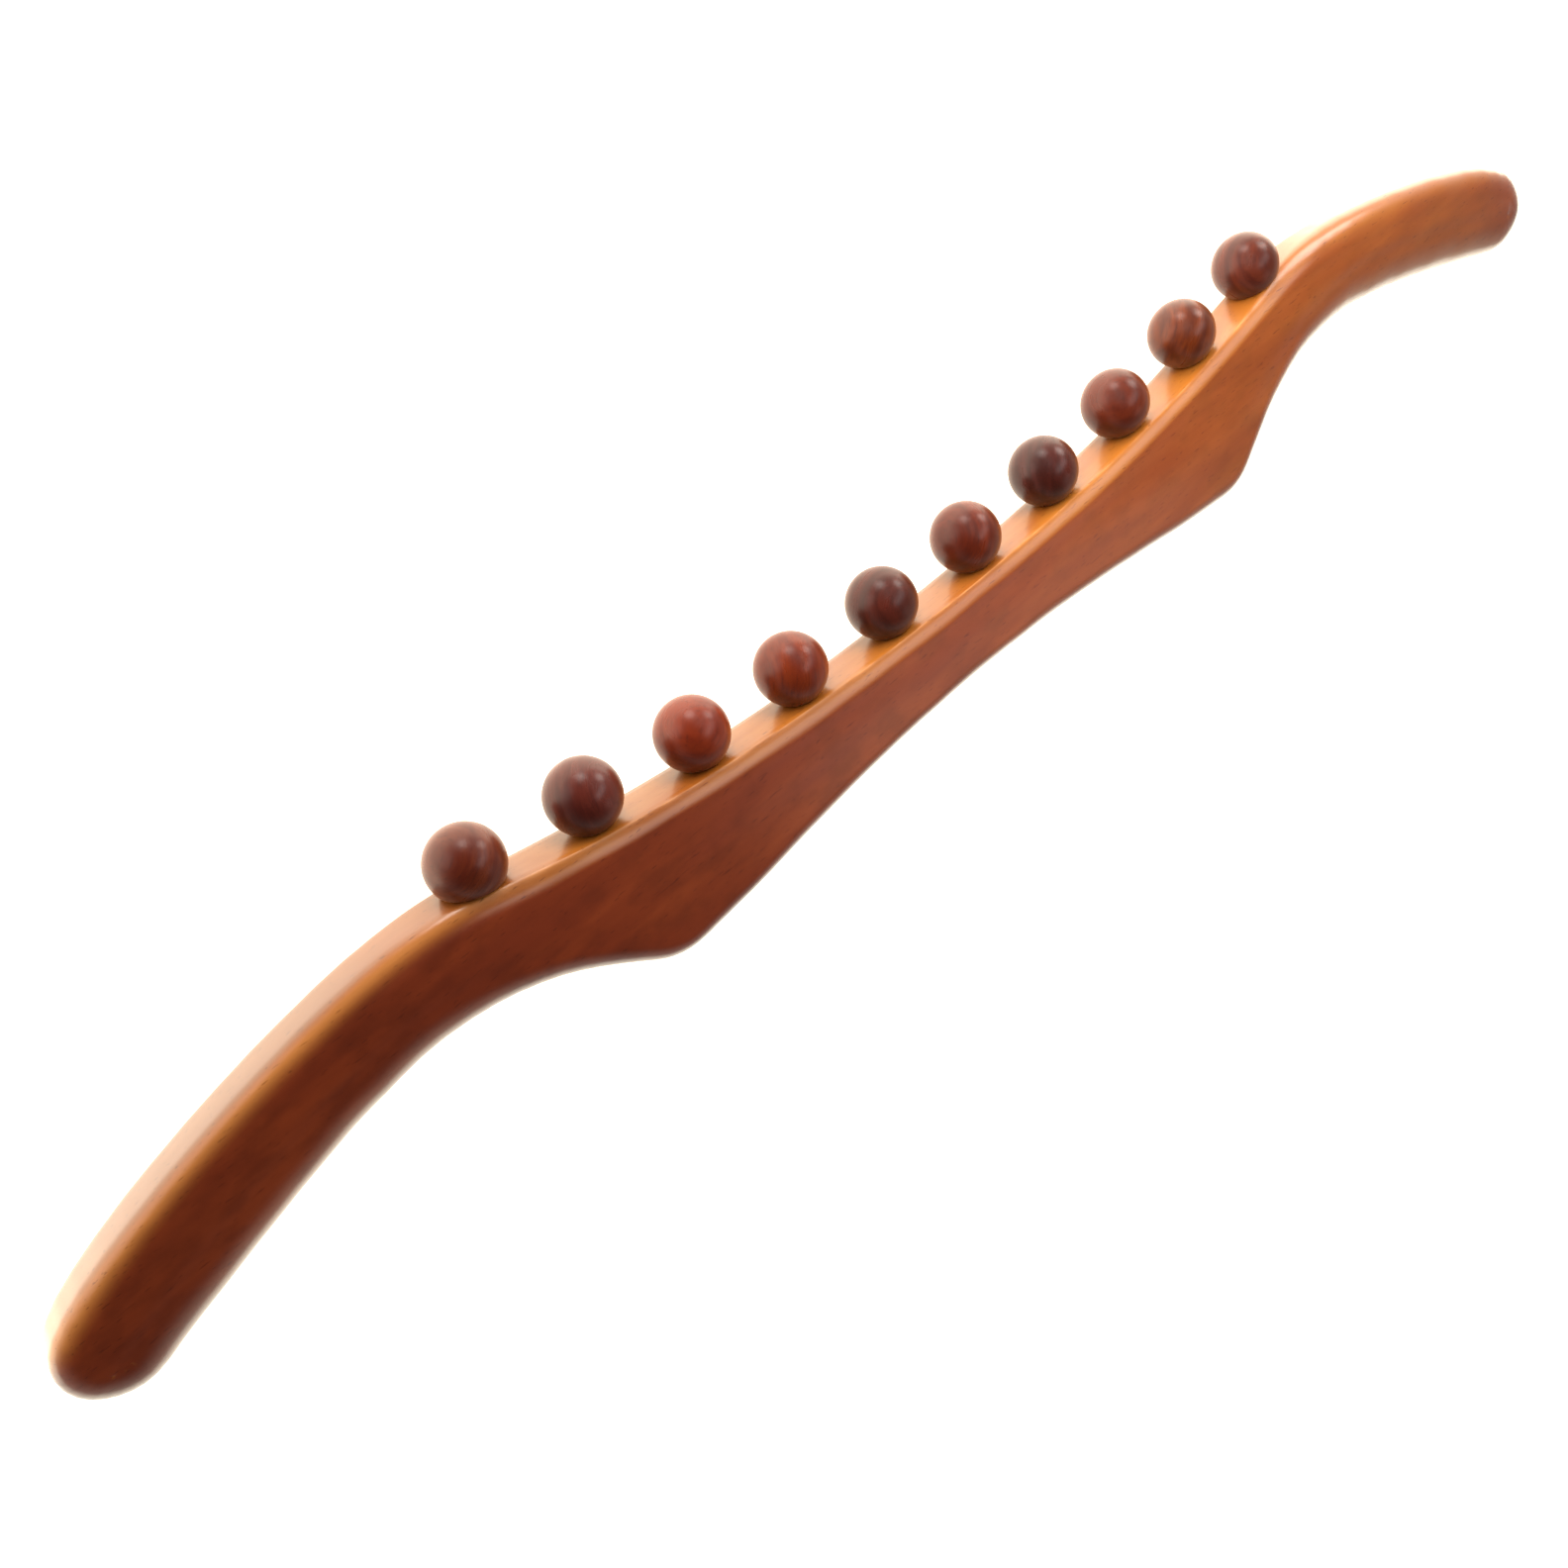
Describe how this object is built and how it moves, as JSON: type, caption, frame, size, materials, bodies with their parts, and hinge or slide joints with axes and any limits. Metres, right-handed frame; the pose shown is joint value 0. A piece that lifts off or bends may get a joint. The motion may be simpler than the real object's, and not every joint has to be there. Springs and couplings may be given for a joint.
{
  "type": "wooden roller massager",
  "caption": "Long bowed wooden massage stick with drooping rounded grips and a row of free-turning wooden balls along its concave side.",
  "frame": {"origin": "centre of the footprint, on the surface that the massager lies on", "axes": "+X along the stick, +Y from the bowed side with the balls to the underside with the blunt points, +Z through the thickness"},
  "size_m": [0.5286, 0.0632, 0.0188],
  "materials": {
    "stick_wood": "satin lacquer over reddish-brown stained wood",
    "ball_wood": "satin lacquer over dark brown stained wood",
    "bush_brass": "turned",
    "pin_steel": "plain drawn steel"
  },
  "bodies": {
    "stick": {"stick_body": "stick_wood", "axle_pin_01": "pin_steel", "axle_pin_02": "pin_steel", "axle_pin_03": "pin_steel", "axle_pin_04": "pin_steel", "axle_pin_05": "pin_steel", "axle_pin_06": "pin_steel", "axle_pin_07": "pin_steel", "axle_pin_08": "pin_steel", "axle_pin_09": "pin_steel", "axle_pin_10": "pin_steel"},
    "ball_01": {"massage_ball_01": "ball_wood", "ball_bush_01": "bush_brass"},
    "ball_02": {"massage_ball_02": "ball_wood", "ball_bush_02": "bush_brass"},
    "ball_03": {"massage_ball_03": "ball_wood", "ball_bush_03": "bush_brass"},
    "ball_04": {"massage_ball_04": "ball_wood", "ball_bush_04": "bush_brass"},
    "ball_05": {"massage_ball_05": "ball_wood", "ball_bush_05": "bush_brass"},
    "ball_06": {"massage_ball_06": "ball_wood", "ball_bush_06": "bush_brass"},
    "ball_07": {"massage_ball_07": "ball_wood", "ball_bush_07": "bush_brass"},
    "ball_08": {"massage_ball_08": "ball_wood", "ball_bush_08": "bush_brass"},
    "ball_09": {"massage_ball_09": "ball_wood", "ball_bush_09": "bush_brass"},
    "ball_10": {"massage_ball_10": "ball_wood", "ball_bush_10": "bush_brass"}
  },
  "joints": [
    {"name": "ball_01_spin", "type": "hinge", "parent": "stick", "child": "ball_01", "pos_m": [-0.13883, -0.02223, 0.0094], "axis": [0.2745, -0.9616, 0], "continuous": true},
    {"name": "ball_02_spin", "type": "hinge", "parent": "stick", "child": "ball_02", "pos_m": [-0.10824, -0.01753, 0.0094], "axis": [0.1847, -0.9828, 0], "continuous": true},
    {"name": "ball_03_spin", "type": "hinge", "parent": "stick", "child": "ball_03", "pos_m": [-0.07765, -0.0129, 0.0094], "axis": [0.1163, -0.9932, 0], "continuous": true},
    {"name": "ball_04_spin", "type": "hinge", "parent": "stick", "child": "ball_04", "pos_m": [-0.04671, -0.01015, 0.0094], "axis": [0.0628, -0.998, 0], "continuous": true},
    {"name": "ball_05_spin", "type": "hinge", "parent": "stick", "child": "ball_05", "pos_m": [-0.0156, -0.00891, 0.0094], "axis": [0.0189, -0.9998, 0], "continuous": true},
    {"name": "ball_06_spin", "type": "hinge", "parent": "stick", "child": "ball_06", "pos_m": [0.0156, -0.00891, 0.0094], "axis": [-0.0189, -0.9998, 0], "continuous": true},
    {"name": "ball_07_spin", "type": "hinge", "parent": "stick", "child": "ball_07", "pos_m": [0.04671, -0.01015, 0.0094], "axis": [-0.0628, -0.998, 0], "continuous": true},
    {"name": "ball_08_spin", "type": "hinge", "parent": "stick", "child": "ball_08", "pos_m": [0.07765, -0.0129, 0.0094], "axis": [-0.1163, -0.9932, 0], "continuous": true},
    {"name": "ball_09_spin", "type": "hinge", "parent": "stick", "child": "ball_09", "pos_m": [0.10824, -0.01753, 0.0094], "axis": [-0.1847, -0.9828, 0], "continuous": true},
    {"name": "ball_10_spin", "type": "hinge", "parent": "stick", "child": "ball_10", "pos_m": [0.13883, -0.02223, 0.0094], "axis": [-0.2745, -0.9616, 0], "continuous": true}
  ]
}
